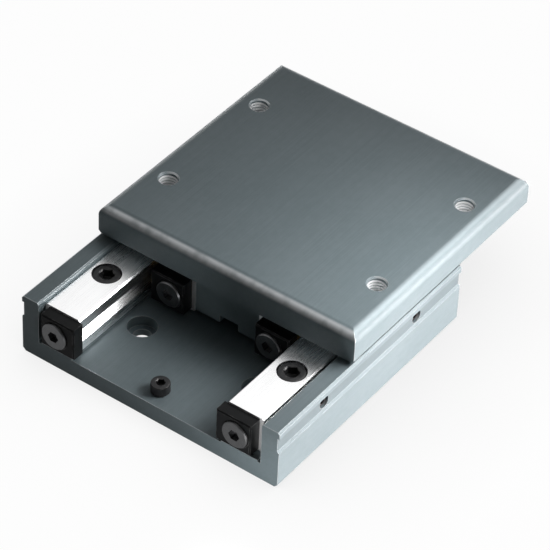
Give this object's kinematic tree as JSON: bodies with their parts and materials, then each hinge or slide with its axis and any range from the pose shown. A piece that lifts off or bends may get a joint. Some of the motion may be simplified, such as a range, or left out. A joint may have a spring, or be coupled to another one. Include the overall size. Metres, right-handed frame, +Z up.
{
  "type": "manual linear slide",
  "caption": "Flat table that rolls by hand along a channel-shaped base on crossed-roller V-groove rails, with bolt holes in the table's top and the base's floor.",
  "frame": {"origin": "centre of the base's underside, midway between its four bolt holes", "axes": "+Z up through the table, +Y along the slide from the open front end to the rear, +X to the right"},
  "size_m": [0.11, 0.1538, 0.038],
  "materials": {
    "anodised_aluminium": "dark grey anodised, satin",
    "ground_steel": "fine ground",
    "black_plate": "black oxide, satin",
    "grey_screw": "zinc plated, dull",
    "black_screw": "black oxide",
    "cage_brass": "stamped, plain",
    "roller_steel": "polished"
  },
  "bodies": {
    "base": {"base_channel": "anodised_aluminium", "preload_screws": "black_screw", "stop_screws": "black_screw", "outer_rail_left": "ground_steel", "outer_rail_screws_left": "black_screw", "outer_end_screws_left": "grey_screw", "outer_end_plate_left_front": "black_plate", "outer_end_plate_left_rear": "black_plate", "outer_rail_right": "ground_steel", "outer_rail_screws_right": "black_screw", "outer_end_screws_right": "grey_screw", "outer_end_plate_right_front": "black_plate", "outer_end_plate_right_rear": "black_plate"},
    "table": {"table_plate": "anodised_aluminium", "inner_rail_left": "ground_steel", "inner_rail_screws_left": "black_screw", "inner_end_screws_left": "grey_screw", "inner_end_plate_left_front": "black_plate", "inner_end_plate_left_rear": "black_plate", "inner_rail_right": "ground_steel", "inner_rail_screws_right": "black_screw", "inner_end_screws_right": "grey_screw", "inner_end_plate_right_front": "black_plate", "inner_end_plate_right_rear": "black_plate"},
    "left_cage": {"roller_cage_left": "cage_brass"},
    "right_cage": {"roller_cage_right": "cage_brass"},
    "left_roller_1": {"roller_left_1": "roller_steel"},
    "left_roller_2": {"roller_left_2": "roller_steel"},
    "left_roller_3": {"roller_left_3": "roller_steel"},
    "left_roller_4": {"roller_left_4": "roller_steel"},
    "left_roller_5": {"roller_left_5": "roller_steel"},
    "left_roller_6": {"roller_left_6": "roller_steel"},
    "right_roller_1": {"roller_right_1": "roller_steel"},
    "right_roller_2": {"roller_right_2": "roller_steel"},
    "right_roller_3": {"roller_right_3": "roller_steel"},
    "right_roller_4": {"roller_right_4": "roller_steel"},
    "right_roller_5": {"roller_right_5": "roller_steel"},
    "right_roller_6": {"roller_right_6": "roller_steel"}
  },
  "joints": [
    {"name": "table_slide", "type": "slide", "parent": "base", "child": "table", "axis": [0, 1, 0], "range_m": [-0.084, 0]},
    {"name": "left_cage_slide", "type": "slide", "parent": "base", "child": "left_cage", "axis": [0, 1, 0], "range_m": [-0.042, 0]},
    {"name": "right_cage_slide", "type": "slide", "parent": "base", "child": "right_cage", "axis": [0, 1, 0], "range_m": [-0.042, 0]},
    {"name": "left_roller_1_spin", "type": "hinge", "parent": "left_cage", "child": "left_roller_1", "pos_m": [-0.0312, -0.0015, 0.0153], "axis": [-0.7071, 0, 0.7071], "continuous": true},
    {"name": "left_roller_2_spin", "type": "hinge", "parent": "left_cage", "child": "left_roller_2", "pos_m": [-0.0312, 0.0075, 0.0153], "axis": [0.7071, 0, 0.7071], "continuous": true},
    {"name": "left_roller_3_spin", "type": "hinge", "parent": "left_cage", "child": "left_roller_3", "pos_m": [-0.0312, 0.0165, 0.0153], "axis": [-0.7071, 0, 0.7071], "continuous": true},
    {"name": "left_roller_4_spin", "type": "hinge", "parent": "left_cage", "child": "left_roller_4", "pos_m": [-0.0312, 0.0255, 0.0153], "axis": [0.7071, 0, 0.7071], "continuous": true},
    {"name": "left_roller_5_spin", "type": "hinge", "parent": "left_cage", "child": "left_roller_5", "pos_m": [-0.0312, 0.0345, 0.0153], "axis": [-0.7071, 0, 0.7071], "continuous": true},
    {"name": "left_roller_6_spin", "type": "hinge", "parent": "left_cage", "child": "left_roller_6", "pos_m": [-0.0312, 0.0435, 0.0153], "axis": [0.7071, 0, 0.7071], "continuous": true},
    {"name": "right_roller_1_spin", "type": "hinge", "parent": "right_cage", "child": "right_roller_1", "pos_m": [0.0292, -0.0015, 0.0153], "axis": [0.7071, 0, -0.7071], "continuous": true},
    {"name": "right_roller_2_spin", "type": "hinge", "parent": "right_cage", "child": "right_roller_2", "pos_m": [0.0292, 0.0075, 0.0153], "axis": [-0.7071, 0, -0.7071], "continuous": true},
    {"name": "right_roller_3_spin", "type": "hinge", "parent": "right_cage", "child": "right_roller_3", "pos_m": [0.0292, 0.0165, 0.0153], "axis": [0.7071, 0, -0.7071], "continuous": true},
    {"name": "right_roller_4_spin", "type": "hinge", "parent": "right_cage", "child": "right_roller_4", "pos_m": [0.0292, 0.0255, 0.0153], "axis": [-0.7071, 0, -0.7071], "continuous": true},
    {"name": "right_roller_5_spin", "type": "hinge", "parent": "right_cage", "child": "right_roller_5", "pos_m": [0.0292, 0.0345, 0.0153], "axis": [0.7071, 0, -0.7071], "continuous": true},
    {"name": "right_roller_6_spin", "type": "hinge", "parent": "right_cage", "child": "right_roller_6", "pos_m": [0.0292, 0.0435, 0.0153], "axis": [-0.7071, 0, -0.7071], "continuous": true}
  ],
  "couplings": [
    {"joint": "left_cage_slide", "follows": "table_slide", "ratio": 0.5},
    {"joint": "right_cage_slide", "follows": "table_slide", "ratio": 0.5},
    {"joint": "left_roller_1_spin", "follows": "table_slide", "rad_per_m": 166.67},
    {"joint": "left_roller_2_spin", "follows": "table_slide", "rad_per_m": 166.67},
    {"joint": "left_roller_3_spin", "follows": "table_slide", "rad_per_m": 166.67},
    {"joint": "left_roller_4_spin", "follows": "table_slide", "rad_per_m": 166.67},
    {"joint": "left_roller_5_spin", "follows": "table_slide", "rad_per_m": 166.67},
    {"joint": "left_roller_6_spin", "follows": "table_slide", "rad_per_m": 166.67},
    {"joint": "right_roller_1_spin", "follows": "table_slide", "rad_per_m": 166.67},
    {"joint": "right_roller_2_spin", "follows": "table_slide", "rad_per_m": 166.67},
    {"joint": "right_roller_3_spin", "follows": "table_slide", "rad_per_m": 166.67},
    {"joint": "right_roller_4_spin", "follows": "table_slide", "rad_per_m": 166.67},
    {"joint": "right_roller_5_spin", "follows": "table_slide", "rad_per_m": 166.67},
    {"joint": "right_roller_6_spin", "follows": "table_slide", "rad_per_m": 166.67}
  ]
}
